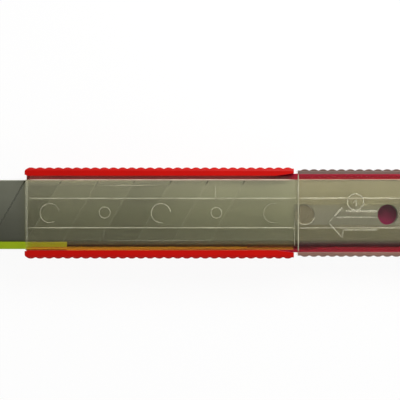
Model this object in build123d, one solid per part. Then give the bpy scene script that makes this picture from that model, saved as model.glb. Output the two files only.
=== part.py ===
from build123d import *
import math
import os

# A flat snap-off utility knife that carries its own blade magazine. A red tray with grip ridges down
# both sides holds a stack of blades under a clear cover. The clear rear sleeve slides on the tray's neck,
# and its drive pin sits in the hole of the top blade, so pushing the sleeve forward pushes that blade out.
# A lime guard covers the cutting edge and slides back to bare the tip.
# X runs from the blade's tip to the rear, Y from the cutting edge to the spine, Z up through the cover.
# Lengths along X are measured from the tray's front end until the whole knife is centred for export.

# Snap-off blade, the common 18 mm size
BLADE_WIDTH = 18.0
BLADE_LENGTH = 110.0
BLADE_THICKNESS = 0.5
BEVEL_WIDTH = 1.5
EDGE_FLAT = 0.04
SPINE_CHAMFER = 0.2
SNAP_ANGLE = 60.0
SNAP_PITCH = 10.0
SNAP_COUNT = 7
SNAP_GROOVE_WIDTH = 0.45
SNAP_GROOVE_DEPTH = 0.12
BLADE_HOLE_RADIUS = 2.8
HOLE_TO_REAR = 8.2
HOLE_Y = -0.45
BLADE_TIP_OUT = 20.35
BLADE_TRAVEL = 22.85
SPARE_COUNT = 9
STACK_GAP = 0.02

# Tray
TRAY_LENGTH = 73.3
TRAY_HALF_WIDTH = 12.1
KNIFE_HEIGHT = 12.4
RAIL_INNER = 10.15
RAIL_NOSE = 0.45
RAIL_NOSE_INNER = 10.4
RAIL_LEAD_LENGTH = 4.9
RAIL_LEAD_DEPTH = 0.8
SEAT_ROOM = 0.05
CORNER_RADIUS = 0.9
EDGE_RADIUS = 1.1
FRONT_WALL = 1.2
NECK_REAR = 114.4
NECK_HALF_WIDTH = 10.75
NECK_BOTTOM = 1.35
REAR_WALL = 1.6
FLOOR_TOP = 2.6
CAVITY_HALF_WIDTH = 9.15
EDGE_RELIEF = 9.5
BACK_PANEL_LENGTH = 27.0
BACK_PANEL_HALF_WIDTH = 7.8
BACK_PANEL_DEPTH = 0.8
BACK_PANEL_MARGIN = 7.5
BACK_PANEL_RADIUS = 2.0

# Grip ridges on the tray and the sleeve
RIDGE_PITCH = 2.5
RIDGE_HEIGHT = 0.35
RIDGE_RADIUS = 1.75
TRAY_FIRST_RIDGE = 1.67
SLEEVE_FIRST_RIDGE = 1.89

# Clear cover
COVER_BOTTOM = 9.95
COVER_TOP = 11.8
NECK_COVER_TOP = 11.05
COVER_GAP = 0.1
COVER_FRONT = 0.15
COVER_REAR = 73.6
COVER_CHAMFER = 0.25
COVER_FRONT_CHAMFER = 0.7
COVER_STEP = 9.1
RIB_OFFSET = 4.0
RIB_WIDTH = 0.44
RIB_HEIGHT = 0.2
BEAD_MARGIN = 5.0
BEAD_REACH = 0.2
BEAD_LOW = 10.55
BEAD_HIGH = 11.05
GROOVE_ROOM = 0.05

# Clear rear sleeve and its drive pin
SLEEVE_FRONT = 74.4
SLEEVE_REAR = 118.0
SLEEVE_HALF_WIDTH = 11.6
SLEEVE_TOP = 12.15
SLEEVE_ROOF = 0.95
SLEEVE_FLOOR = 1.2
SLEEVE_END_WALL = 1.6
SLEEVE_INNER_HALF_WIDTH = 10.9
SLEEVE_REAR_RADIUS = 3.0
DRIVE_PIN_RADIUS = 2.6
PIN_ROOM = 0.2

# Edge guard
GUARD_FRONT = -22.2
GUARD_LIP_END = 11.45
GUARD_RAIL_END = 60.6
GUARD_INNER = 9.25
GUARD_OUTER = 9.85
GUARD_LIP_REACH = 7.85
GUARD_LOW = 8.9
GUARD_RAIL_TOP = 9.9
GUARD_LIP_LOW = 9.93
GUARD_LIP_TOP = 10.45
GUARD_ROOM = 0.12
NOSE_LENGTH = 3.0
NOSE_REACH = 6.5
NOSE_LOW = 8.75
NOSE_SLOT_LOW = 9.35
FLAG_INNER = 10.5
FLAG_OUTER = 12.3
FLAG_LOW = 7.2
FLAG_TOP = 11.8
FLAG_RADIUS = 1.2

# Follower plate and the leaf spring that lifts the stack
FOLLOWER_FRONT = 4.0
FOLLOWER_REAR = 108.0
FOLLOWER_HALF_WIDTH = 8.6
FOLLOWER_THICKNESS = 0.8
FOLLOWER_CORNER = 2.0
SPRING_HALF_SPAN = 40.0
SPRING_HALF_WIDTH = 4.5
SPRING_THICKNESS = 0.28
RIVET_RADIUS = 1.0
RIVET_HEAD_RADIUS = 1.8
RIVET_HEAD = 0.4

# Detent springs, one in each side of the neck
DETENT_X = 104.4
DETENT_HALF_LENGTH = 5.7
DETENT_NOSE_HALF = 1.2
DETENT_LEG_RISE = 0.55
DETENT_NOSE_RISE = 1.0
DETENT_THICKNESS = 0.2
DETENT_LOW = 5.0
DETENT_HIGH = 8.0
POCKET_FLOOR = 9.95
POCKET_ROOM = 0.3
DIMPLE_RADIUS = 1.3
DIMPLE_DEPTH = 0.4

# Places that follow from the sizes above
SLANT = BLADE_WIDTH / math.tan(math.radians(SNAP_ANGLE))
HOLE_X = BLADE_LENGTH - SLANT / 2 - HOLE_TO_REAR
DRIVE_PIN_X = HOLE_X - BLADE_TIP_OUT
BLADE_PITCH = BLADE_THICKNESS + STACK_GAP
TOP_BLADE_LOW = COVER_BOTTOM - 0.05 - BLADE_THICKNESS
SEAT = COVER_BOTTOM - SEAT_ROOM
STACK_LOW = TOP_BLADE_LOW - SPARE_COUNT * BLADE_PITCH
FOLLOWER_TOP = STACK_LOW - STACK_GAP
FOLLOWER_LOW = FOLLOWER_TOP - FOLLOWER_THICKNESS
SPRING_X = (FOLLOWER_FRONT + FOLLOWER_REAR) / 2
SPRING_TOP = FOLLOWER_LOW - STACK_GAP
GUARD_TRAVEL = -GUARD_FRONT - NOSE_LENGTH - COVER_GAP
CAVITY_FRONT = RAIL_NOSE + FRONT_WALL
CAVITY_REAR = NECK_REAR - REAR_WALL
MIDDLE_X = (GUARD_FRONT + SLEEVE_REAR) / 2
FAR = 300.0


def block(x, y, z):
    """A box between two limits on each axis."""
    middle = Pos(*((low + high) / 2 for low, high in (x, y, z)))
    return middle * Box(*(high - low for low, high in (x, y, z)))


def upright(outline, z):
    """A flat outline in plan, raised from one height to another."""
    return extrude(Pos(0, 0, z[0]) * outline, z[1] - z[0], dir=(0, 0, 1))


def lengthwise(section, x):
    """A section drawn in Y and Z, carried along X."""
    return extrude(Plane.YZ.offset(x[0]) * section, x[1] - x[0], dir=(1, 0, 0))


def plan_rectangle(x, y):
    """A rectangle in plan between two limits on each axis."""
    return Pos((x[0] + x[1]) / 2, (y[0] + y[1]) / 2) * Rectangle(x[1] - x[0], y[1] - y[0])


def ridged_bar(x, half_width, top, rounded_end, end_radius, first_ridge):
    """A flat bar with two rounded corners at one end, rounded long edges, and grip ridges down both sides."""
    plan = plan_rectangle(x, (-half_width, half_width))
    corners = [v for v in plan.vertices() if abs(v.X - rounded_end) < 1e-6]
    plan = fillet(corners, end_radius)
    first = x[0] + first_ridge
    last = x[1] - RIDGE_PITCH / 2 - end_radius * (x[1] == rounded_end)
    count = int((last - first) / RIDGE_PITCH) + 1
    centre = half_width + RIDGE_HEIGHT - RIDGE_RADIUS
    for i in range(count):
        for side in (-centre, centre):
            plan += Pos(first + i * RIDGE_PITCH, side) * Circle(RIDGE_RADIUS)
    width = 2 * (half_width + RIDGE_HEIGHT)
    section = Pos(0, top / 2) * RectangleRounded(width, top, EDGE_RADIUS)
    return upright(plan, (0, top)) & lengthwise(section, x)


def long_ribs(x, base):
    """Two low ribs with sloping sides along the top of a clear part."""
    half = RIB_WIDTH / 2
    slope = Polygon(
        (-half, -RIB_HEIGHT), (half, -RIB_HEIGHT), (half / 2, RIB_HEIGHT), (-half / 2, RIB_HEIGHT), align=None
    )
    return [lengthwise(Pos(side, base) * slope, x) for side in (-RIB_OFFSET, RIB_OFFSET)]


def blade():
    """One blade with its tip at X 0 and its underside at Z 0: bevelled edge, snap grooves and rear hole."""
    half, bottom, top = BLADE_WIDTH / 2, 0, BLADE_THICKNESS
    middle = (bottom + top) / 2
    section = Polygon(
        (half, bottom),
        (half, top - SPINE_CHAMFER),
        (half - SPINE_CHAMFER, top),
        (BEVEL_WIDTH - half, top),
        (-half, middle + EDGE_FLAT / 2),
        (-half, middle - EDGE_FLAT / 2),
        (BEVEL_WIDTH - half, bottom),
        align=None,
    )
    outline = Polygon(
        (0, -half), (SLANT, half), (BLADE_LENGTH, half), (BLADE_LENGTH - SLANT, -half), align=None
    )
    body = lengthwise(section, (0, BLADE_LENGTH)) & upright(outline, (bottom, top))
    body -= Pos(HOLE_X, HOLE_Y, middle) * Cylinder(BLADE_HOLE_RADIUS, 4 * BLADE_THICKNESS)
    cut = Polygon(
        (-SNAP_GROOVE_WIDTH / 2, 0), (SNAP_GROOVE_WIDTH / 2, 0), (0, -SNAP_GROOVE_DEPTH), align=None
    )
    groove = lengthwise(cut, (-BLADE_WIDTH, BLADE_WIDTH))
    for i in range(1, SNAP_COUNT + 1):
        place = Pos(SLANT / 2 + i * SNAP_PITCH, 0, top) * Rot(0, 0, SNAP_ANGLE)
        body -= place * groove
    return body


def tray():
    """The red moulding: ridged front, plain neck, magazine cavity, guard channel and seat for the cover."""
    body = ridged_bar((0, TRAY_LENGTH), TRAY_HALF_WIDTH, KNIFE_HEIGHT, 0, CORNER_RADIUS, TRAY_FIRST_RIDGE)
    neck = (-NECK_HALF_WIDTH, NECK_HALF_WIDTH)
    body += block((TRAY_LENGTH - 1, NECK_REAR), neck, (NECK_BOTTOM, SEAT))
    cavity = (-CAVITY_HALF_WIDTH, CAVITY_HALF_WIDTH)
    rails = (-RAIL_INNER, RAIL_INNER)
    channel = (-GUARD_OUTER - GUARD_ROOM, -CAVITY_HALF_WIDTH + GUARD_ROOM)
    channel_low = GUARD_LOW - GUARD_ROOM
    body -= block((CAVITY_FRONT, CAVITY_REAR), cavity, (FLOOR_TOP, FAR))
    body -= block((-1, TRAY_LENGTH), rails, (SEAT, FAR))
    body -= block((-1, RAIL_NOSE), (-RAIL_NOSE_INNER, RAIL_NOSE_INNER), (-1, FAR))
    body -= block((-1, CAVITY_FRONT + 1), cavity, (TOP_BLADE_LOW - 2 * STACK_GAP, FAR))
    body -= block((-1, GUARD_RAIL_END + GUARD_TRAVEL + GUARD_ROOM), channel, (channel_low, FAR))
    body -= block((TRAY_LENGTH, CAVITY_REAR), (-EDGE_RELIEF, 0), (channel_low, FAR))
    bead = (-1, TRAY_LENGTH - BEAD_MARGIN + 1)
    bead_depth = RAIL_INNER + BEAD_REACH + GROOVE_ROOM
    body -= block(bead, (-bead_depth, bead_depth), (BEAD_LOW - GROOVE_ROOM, BEAD_HIGH + GROOVE_ROOM))
    for side in (-1, 1):
        lead = Polygon(
            (TRAY_LENGTH - RAIL_LEAD_LENGTH, side * RAIL_INNER),
            (TRAY_LENGTH + 1, side * RAIL_INNER),
            (TRAY_LENGTH + 1, side * (RAIL_INNER + RAIL_LEAD_DEPTH)),
            align=None,
        )
        body -= upright(lead, (SEAT, FAR))
    panel = RectangleRounded(BACK_PANEL_LENGTH, 2 * BACK_PANEL_HALF_WIDTH, BACK_PANEL_RADIUS)
    for x in (BACK_PANEL_MARGIN, TRAY_LENGTH - BACK_PANEL_MARGIN - BACK_PANEL_LENGTH):
        body -= upright(Pos(x + BACK_PANEL_LENGTH / 2, 0) * panel, (-1, BACK_PANEL_DEPTH))
    reach = DETENT_HALF_LENGTH + POCKET_ROOM
    for side in (-1, 1):
        pocket = sorted((side * POCKET_FLOOR, side * (NECK_HALF_WIDTH + 1)))
        body -= block((DETENT_X - reach, DETENT_X + reach), pocket, (DETENT_LOW, DETENT_HIGH))
    return body


def cover():
    """The clear plate over the stack, sliding in the rails. On the neck it forks around the drive pin."""
    half = RAIL_INNER - COVER_GAP
    plate = block((COVER_FRONT, COVER_REAR), (-half, COVER_STEP), (COVER_BOTTOM, COVER_TOP))
    plate = chamfer(plate.edges().group_by(Axis.Z)[-1].sort_by(Axis.X)[0], COVER_FRONT_CHAMFER)
    spine_edge = plate.edges().group_by(Axis.Z)[-1].filter_by(Axis.X).sort_by(Axis.Y)[-1]
    plate = chamfer(spine_edge, COVER_CHAMFER)
    plate += block((RAIL_NOSE, NECK_REAR), (COVER_STEP - 1, half), (COVER_BOTTOM, NECK_COVER_TOP))
    plate += block((TRAY_LENGTH - 1, NECK_REAR), (-half, half), (COVER_BOTTOM, NECK_COVER_TOP))
    bead = half + BEAD_REACH
    plate += block((BEAD_MARGIN, TRAY_LENGTH - BEAD_MARGIN), (-bead, bead), (BEAD_LOW, BEAD_HIGH))
    for rib in long_ribs((COVER_FRONT + COVER_FRONT_CHAMFER, COVER_REAR), COVER_TOP):
        plate += rib
    slot = DRIVE_PIN_RADIUS + PIN_ROOM
    plate -= block((DRIVE_PIN_X - slot, FAR), (HOLE_Y - slot, HOLE_Y + slot), (0, FAR))
    lip_room = (-half - 1, -GUARD_LIP_REACH + GUARD_ROOM)
    plate -= block((-1, FAR), lip_room, (0, GUARD_LIP_TOP + GROOVE_ROOM))
    return plate


def sleeve():
    """The clear rear sleeve: a ridged box, open at the front, with two dimples in each side wall."""
    ends = (SLEEVE_FRONT, SLEEVE_REAR)
    body = ridged_bar(
        ends, SLEEVE_HALF_WIDTH, SLEEVE_TOP, SLEEVE_REAR, SLEEVE_REAR_RADIUS, SLEEVE_FIRST_RIDGE
    )
    inside = (-SLEEVE_INNER_HALF_WIDTH, SLEEVE_INNER_HALF_WIDTH)
    hollow = (SLEEVE_FRONT - 1, SLEEVE_REAR - SLEEVE_END_WALL)
    body -= block(hollow, inside, (SLEEVE_FLOOR, SLEEVE_TOP - SLEEVE_ROOF))
    for rib in long_ribs((SLEEVE_FRONT, SLEEVE_REAR - SLEEVE_REAR_RADIUS), SLEEVE_TOP):
        body += rib
    dimple = Circle(DIMPLE_RADIUS)
    for x in (DETENT_X, DETENT_X - BLADE_TRAVEL):
        for side in (-1, 1):
            y = side * (SLEEVE_INNER_HALF_WIDTH + DIMPLE_DEPTH - DIMPLE_RADIUS)
            body -= upright(Pos(x, y) * dimple, (DETENT_LOW, DETENT_HIGH))
    return body


def drive_pin():
    """The pin under the sleeve's roof that sits in the hole of the top blade."""
    outline = Pos(DRIVE_PIN_X, HOLE_Y) * Circle(DRIVE_PIN_RADIUS)
    return upright(outline, (TOP_BLADE_LOW + STACK_GAP, SLEEVE_TOP - SLEEVE_ROOF))


def edge_guard():
    """An angle strip: a wall along the cutting edge, a lip over it at the front and a flag at the tip."""
    wall = (-GUARD_OUTER, -GUARD_INNER)
    guard = block((GUARD_FRONT, GUARD_RAIL_END), wall, (GUARD_LOW, GUARD_RAIL_TOP))
    guard += block((GUARD_FRONT, GUARD_LIP_END), wall, (GUARD_LOW, GUARD_LIP_TOP))
    guard += block(
        (GUARD_FRONT, GUARD_LIP_END), (-GUARD_OUTER, -GUARD_LIP_REACH), (GUARD_LIP_LOW, GUARD_LIP_TOP)
    )
    nose = (GUARD_FRONT, GUARD_FRONT + NOSE_LENGTH)
    guard += block(nose, (-FLAG_OUTER, -GUARD_INNER), (NOSE_LOW, GUARD_LIP_TOP))
    guard += block(nose, (-GUARD_OUTER, -NOSE_REACH), (NOSE_LOW, NOSE_SLOT_LOW))
    flag = RectangleRounded(NOSE_LENGTH, FLAG_TOP - FLAG_LOW, FLAG_RADIUS)
    flag = Plane.XZ.offset(FLAG_INNER) * Pos(sum(nose) / 2, (FLAG_LOW + FLAG_TOP) / 2) * flag
    return guard + extrude(flag, FLAG_OUTER - FLAG_INNER, dir=(0, -1, 0))


def follower():
    """The plate under the stack, with a counterbore for the rivet that holds the leaf spring to it."""
    length = FOLLOWER_REAR - FOLLOWER_FRONT
    outline = RectangleRounded(length, 2 * FOLLOWER_HALF_WIDTH, FOLLOWER_CORNER)
    plate = upright(Pos(SPRING_X, 0) * outline, (FOLLOWER_LOW, FOLLOWER_TOP))
    plate -= upright(Pos(SPRING_X, 0) * Circle(RIVET_RADIUS), (0, FAR))
    return plate - upright(Pos(SPRING_X, 0) * Circle(RIVET_HEAD_RADIUS), (FOLLOWER_TOP - RIVET_HEAD, FAR))


def leaf_spring():
    """A steel strip bowed from the tray's floor up to the follower."""
    low = FLOOR_TOP + STACK_GAP
    crown = SPRING_TOP - SPRING_THICKNESS
    ends = ((-SPRING_HALF_SPAN, low), (SPRING_HALF_SPAN, low))
    raised = tuple((x, z + SPRING_THICKNESS) for x, z in ends)
    under = ThreePointArc(ends[0], (0, crown), ends[1])
    over = ThreePointArc(raised[0], (0, crown + SPRING_THICKNESS), raised[1])
    section = make_face([under, Line(ends[1], raised[1]), over, Line(raised[0], ends[0])])
    strip = extrude(Plane.XZ * section, SPRING_HALF_WIDTH, both=True)
    strip -= upright(Circle(RIVET_RADIUS), (0, FAR))
    return Pos(SPRING_X, 0, 0) * strip


def spring_rivet():
    """A rivet with a flush head in the follower and a flat head under the leaf spring."""
    shank_low = SPRING_TOP - SPRING_THICKNESS - STACK_GAP
    rivet = upright(Circle(RIVET_RADIUS - STACK_GAP), (shank_low, FOLLOWER_TOP - STACK_GAP))
    head_low = FOLLOWER_TOP - RIVET_HEAD + STACK_GAP
    rivet += upright(Circle(RIVET_HEAD_RADIUS - STACK_GAP), (head_low, FOLLOWER_TOP))
    rivet += upright(Circle(RIVET_HEAD_RADIUS), (shank_low - RIVET_HEAD, shank_low))
    return Pos(SPRING_X, 0, 0) * rivet


def detent_spring(side):
    """A bent steel strip in the neck's pocket whose nose clicks into the sleeve's dimples."""
    foot = POCKET_FLOOR + 0.05
    line = [
        (-DETENT_HALF_LENGTH, foot),
        (-DETENT_NOSE_HALF, foot + DETENT_LEG_RISE),
        (0, foot + DETENT_NOSE_RISE),
        (DETENT_NOSE_HALF, foot + DETENT_LEG_RISE),
        (DETENT_HALF_LENGTH, foot),
    ]
    outer = [(x, y + DETENT_THICKNESS) for x, y in reversed(line)]
    strip = Polygon(*((DETENT_X + x, side * y) for x, y in line + outer), align=None)
    return upright(strip, (DETENT_LOW + POCKET_ROOM, DETENT_HIGH - POCKET_ROOM))


def assembly():
    """Every piece of the knife by its name, where it sits with the top blade pushed out."""
    pieces = {
        "tray": tray(),
        "window_cover": cover(),
        "push_sleeve": sleeve(),
        "drive_pin": drive_pin(),
        "edge_guard": edge_guard(),
        "follower_plate": follower(),
        "leaf_spring": leaf_spring(),
        "spring_rivet": spring_rivet(),
        "detent_spring_edge_side": detent_spring(-1),
        "detent_spring_spine_side": detent_spring(1),
    }
    one_blade = blade()
    pieces["working_blade"] = Pos(-BLADE_TIP_OUT, 0, TOP_BLADE_LOW) * one_blade
    for i in range(1, SPARE_COUNT + 1):
        place = Pos(BLADE_TRAVEL - BLADE_TIP_OUT, 0, TOP_BLADE_LOW - i * BLADE_PITCH)
        pieces[f"spare_blade_{i}"] = place * one_blade
    return pieces


os.makedirs("parts", exist_ok=True)
for name, piece in assembly().items():
    export_step(Pos(-MIDDLE_X, 0, 0) * piece, f"parts/{name}.step")
print("drive pin at", round(DRIVE_PIN_X, 2), "stack underside at", round(STACK_LOW, 2), "middle", MIDDLE_X)
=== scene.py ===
import bpy
import numpy as np
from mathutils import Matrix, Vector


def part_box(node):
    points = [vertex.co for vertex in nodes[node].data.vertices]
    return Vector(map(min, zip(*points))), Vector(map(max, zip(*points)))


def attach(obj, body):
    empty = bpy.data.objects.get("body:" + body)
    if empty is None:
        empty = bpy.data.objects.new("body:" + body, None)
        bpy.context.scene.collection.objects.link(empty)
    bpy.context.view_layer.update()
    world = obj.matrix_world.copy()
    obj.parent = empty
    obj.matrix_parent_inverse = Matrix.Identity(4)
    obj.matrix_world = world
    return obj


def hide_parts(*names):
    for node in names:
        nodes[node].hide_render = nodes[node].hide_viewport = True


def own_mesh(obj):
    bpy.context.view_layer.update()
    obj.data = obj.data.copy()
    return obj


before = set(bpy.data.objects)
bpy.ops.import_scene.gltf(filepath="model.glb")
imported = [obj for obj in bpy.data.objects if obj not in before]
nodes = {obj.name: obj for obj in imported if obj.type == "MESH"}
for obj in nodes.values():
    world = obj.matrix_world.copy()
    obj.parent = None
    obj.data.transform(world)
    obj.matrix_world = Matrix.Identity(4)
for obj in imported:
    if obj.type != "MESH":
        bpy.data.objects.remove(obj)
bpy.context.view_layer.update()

# Tray and follower plate. Both are injection moulded in red polystyrene. The tray is the grip, with ridges
# down both sides, and the follower is a flat plate that lies loose in it under the blades.

MM = 0.001
# A Mix node has one set of sockets for each kind of data. These are the places of its share and its colours.
SHARE, FIRST, SECOND, MIXED = 0, 6, 7, 2


def linear(code):
    """An sRGB hex colour as linear RGBA: v / 12.92 up to 0.04045 and ((v + 0.055) / 1.055) ^ 2.4 above."""
    v = np.array([int(code[i : i + 2], 16) / 255 for i in (1, 3, 5)])
    v = np.where(v <= 0.04045, v / 12.92, ((v + 0.055) / 1.055) ** 2.4)
    return (*v.tolist(), 1.0)


def node(tree, kind, inputs=None, links=None, **settings):
    """Adds one shader node, sets its properties and input sockets, and links other nodes' outputs into it."""
    made = tree.nodes.new(kind)
    for key, value in settings.items():
        setattr(made, key, value)
    for key, value in (inputs or {}).items():
        made.inputs[key].default_value = value
    for key, value in (links or {}).items():
        tree.links.new(value, made.inputs[key])
    return made


def new_material(name):
    """A material with an empty node tree."""
    material = bpy.data.materials.new(name)
    material.use_nodes = True
    material.node_tree.nodes.clear()
    return material


def dress(material, *names):
    """Puts a material on CAD nodes."""
    for name in names:
        for place in nodes[name].material_slots:
            place.material = material


# Polystyrene from a spark-eroded steel mould: deep red, satin, with a fine even grain and slightly cloudy
# colour. Hands rub the crests of the ridges paler in patches. Inside the magazine and on the neck, under the
# clear parts, the red is painted darker crimson as painted shade, darker still on the edge side. The thin
# ledge beside the blades' spine is painted bright as painted light. The guard's channel and the inner rim of
# the rail beside it are painted ochre in place of a wider guard, brighter towards the front as painted light
# against the lip's shadow, and brown at the rear as painted shade.
RED_GRAIN, RED_GRAIN_HEIGHT = 0.3 * MM, 0.02 * MM
RED_CLOUD = 9 * MM
RED_SCUFF = 0.8 * MM
RED_DEEP, RED_BRIGHT, RED_RUBBED = "#AE0C08", "#BF110A", "#B83A30"
CREST_HEIGHT, CREST_RUB = 0.2 * MM, 0.35
MAGAZINE_HALF_WIDTH, SHADE_BEHIND_FRONT = 10.8 * MM, 1.2 * MM
SHADE_LOW, SHADE_HIGH = 1.0 * MM, 9.95 * MM
SHADE_CRIMSON_EDGE_SIDE, SHADE_CRIMSON_SPINE_SIDE = "#8C1530", "#9E1836"
LEDGE_INNER, LEDGE_FADE, LEDGE_REAR = 9.1 * MM, 14 * MM, 22 * MM
LEDGE_PAINTED_LIGHT = "#FF5A6E"
CHANNEL_INNER, CHANNEL_REAR = -9.0 * MM, 25.4 * MM
CHANNEL_FLOOR, CHANNEL_FLOOR_SLACK = 8.8 * MM, 0.1 * MM
CHANNEL_PAINTED_OCHRE, CHANNEL_PAINTED_SHADE_BROWN = "#FFC850", "#A0561A"
FRONT_PAINT_FULL, FRONT_PAINT_REAR, FRONT_PAINT_LEAST = -36 * MM, 14 * MM, 0.2
RIM_MIDDLE, RIM_HALF_WIDTH, RIM_LOW = -10.04 * MM, 0.08 * MM, 8.9 * MM
RIM_PAINTED_ORANGE = "#FFB030"
tray_low, tray_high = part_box("tray")
red_polystyrene = new_material("moulded_red_polystyrene")
t = red_polystyrene.node_tree
where = node(t, "ShaderNodeTexCoord").outputs["Object"]
grain, cloud, scuff = (
    node(t, "ShaderNodeTexNoise", {"Scale": 1 / size, "Detail": detail}, {"Vector": where}).outputs["Fac"]
    for size, detail in ((RED_GRAIN, 2.0), (RED_CLOUD, 3.0), (RED_SCUFF, 4.0))
)
axes = node(t, "ShaderNodeSeparateXYZ", links={"Vector": where}).outputs
side = node(t, "ShaderNodeMath", links={0: axes["Y"]}, operation="ABSOLUTE").outputs[0]
crest = node(
    t,
    "ShaderNodeMapRange",
    {"From Min": tray_high.y - CREST_HEIGHT, "From Max": tray_high.y, "To Max": CREST_RUB},
    {"Value": side},
).outputs[0]
rubbed = node(t, "ShaderNodeMath", links={0: crest, 1: scuff}, operation="MULTIPLY").outputs[0]
tone = node(
    t,
    "ShaderNodeMix",
    {FIRST: linear(RED_DEEP), SECOND: linear(RED_BRIGHT)},
    {SHARE: cloud},
    data_type="RGBA",
).outputs[MIXED]
tone = node(
    t, "ShaderNodeMix", {SECOND: linear(RED_RUBBED)}, {SHARE: rubbed, FIRST: tone}, data_type="RGBA"
).outputs[MIXED]
# Painted shade: inside the magazine and on the neck the red is painted darker crimson, darker still on the
# edge side.
between = node(t, "ShaderNodeMath", {1: MAGAZINE_HALF_WIDTH}, {0: side}, operation="LESS_THAN").outputs[0]
under = node(t, "ShaderNodeMath", {1: SHADE_HIGH}, {0: axes["Z"]}, operation="LESS_THAN").outputs[0]
above = node(t, "ShaderNodeMath", {1: SHADE_LOW}, {0: axes["Z"]}, operation="GREATER_THAN").outputs[0]
within = node(
    t, "ShaderNodeMath", {1: tray_low.x + SHADE_BEHIND_FRONT}, {0: axes["X"]}, operation="GREATER_THAN"
).outputs[0]
painted_shade_zone = between
for mask in (under, above, within):
    painted_shade_zone = node(t, "ShaderNodeMath", links={0: painted_shade_zone, 1: mask}, operation="MULTIPLY").outputs[0]
toward_spine = node(
    t,
    "ShaderNodeMapRange",
    {"From Min": -MAGAZINE_HALF_WIDTH, "From Max": MAGAZINE_HALF_WIDTH},
    {"Value": axes["Y"]},
).outputs[0]
shade_crimson = node(
    t,
    "ShaderNodeMix",
    {FIRST: linear(SHADE_CRIMSON_EDGE_SIDE), SECOND: linear(SHADE_CRIMSON_SPINE_SIDE)},
    {SHARE: toward_spine},
    data_type="RGBA",
)
tone = node(
    t,
    "ShaderNodeMix",
    links={SHARE: painted_shade_zone, FIRST: tone, SECOND: shade_crimson.outputs[MIXED]},
    data_type="RGBA",
).outputs[MIXED]
# Painted light: the ledge beside the spine is painted bright pink-red, where its narrow gap lies in shade,
# fading out towards the rear.
by_spine = node(t, "ShaderNodeMath", {1: LEDGE_INNER}, {0: axes["Y"]}, operation="GREATER_THAN").outputs[0]
ledge_light = node(
    t,
    "ShaderNodeMapRange",
    {"From Min": LEDGE_FADE, "From Max": LEDGE_REAR, "To Min": 1.0, "To Max": 0.0},
    {"Value": axes["X"]},
).outputs[0]
for mask in (by_spine, painted_shade_zone):
    ledge_light = node(t, "ShaderNodeMath", links={0: ledge_light, 1: mask}, operation="MULTIPLY").outputs[0]
tone = node(
    t, "ShaderNodeMix", {SECOND: linear(LEDGE_PAINTED_LIGHT)}, {SHARE: ledge_light, FIRST: tone}, data_type="RGBA"
).outputs[MIXED]
# The guard's channel floor and a strip of the rail's inner rim are painted ochre in place of a wider guard,
# brighter towards the front as painted light against the lip's shadow; towards the rear the floor is painted
# brown as painted shade.
beside = node(t, "ShaderNodeMath", {1: CHANNEL_INNER}, {0: axes["Y"]}, operation="LESS_THAN").outputs[0]
ahead = node(t, "ShaderNodeMath", {1: CHANNEL_REAR}, {0: axes["X"]}, operation="LESS_THAN").outputs[0]
channel = node(
    t, "ShaderNodeMath", {1: CHANNEL_FLOOR, 2: CHANNEL_FLOOR_SLACK}, {0: axes["Z"]}, operation="COMPARE"
).outputs[0]
for mask in (beside, ahead, between):
    channel = node(t, "ShaderNodeMath", links={0: channel, 1: mask}, operation="MULTIPLY").outputs[0]
front_paint = node(
    t,
    "ShaderNodeMapRange",
    {"From Min": FRONT_PAINT_REAR, "From Max": FRONT_PAINT_FULL, "To Min": FRONT_PAINT_LEAST},
    {"Value": axes["X"]},
).outputs[0]
channel_paint = node(
    t,
    "ShaderNodeMix",
    {FIRST: linear(CHANNEL_PAINTED_SHADE_BROWN), SECOND: linear(CHANNEL_PAINTED_OCHRE)},
    {SHARE: front_paint},
    data_type="RGBA",
).outputs[MIXED]
tone = node(
    t, "ShaderNodeMix", links={SHARE: channel, FIRST: tone, SECOND: channel_paint}, data_type="RGBA"
).outputs[MIXED]
over_floor = node(t, "ShaderNodeMath", {1: RIM_LOW}, {0: axes["Z"]}, operation="GREATER_THAN").outputs[0]
rim = node(
    t, "ShaderNodeMath", {1: RIM_MIDDLE, 2: RIM_HALF_WIDTH}, {0: axes["Y"]}, operation="COMPARE"
).outputs[0]
for mask in (over_floor, ahead, front_paint):
    rim = node(t, "ShaderNodeMath", links={0: rim, 1: mask}, operation="MULTIPLY").outputs[0]
tone = node(
    t, "ShaderNodeMix", {SECOND: linear(RIM_PAINTED_ORANGE)}, {SHARE: rim, FIRST: tone}, data_type="RGBA"
).outputs[MIXED]
gloss = node(t, "ShaderNodeMapRange", {"To Min": 0.26, "To Max": 0.4}, {"Value": scuff}).outputs[0]
bump = node(
    t, "ShaderNodeBump", {"Strength": 0.25, "Distance": RED_GRAIN_HEIGHT}, {"Height": grain}
).outputs[0]
skin = node(
    t,
    "ShaderNodeBsdfPrincipled",
    {"IOR": 1.59, "Specular IOR Level": 0.1},
    {"Base Color": tone, "Roughness": gloss, "Normal": bump},
).outputs[0]
node(t, "ShaderNodeOutputMaterial", links={"Surface": skin})
dress(red_polystyrene, "tray")

# The follower's batch of the same plastic is a darker wine red. It is set in place of the painted shade's
# crimson, which covers the follower inside the magazine.
WINE_RED = "#961450"
wine_polystyrene = red_polystyrene.copy()
wine_polystyrene.name = "moulded_wine_red_polystyrene"
for tone_socket in (FIRST, SECOND):
    wine_polystyrene.node_tree.nodes[shade_crimson.name].inputs[tone_socket].default_value = linear(WINE_RED)
dress(wine_polystyrene, "follower_plate")

# Leaf spring, its rivet and the two detent springs. The springs are blanked from strip, bent and tempered,
# and dropped into the tray. The rivet holds the leaf spring to the follower.

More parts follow.
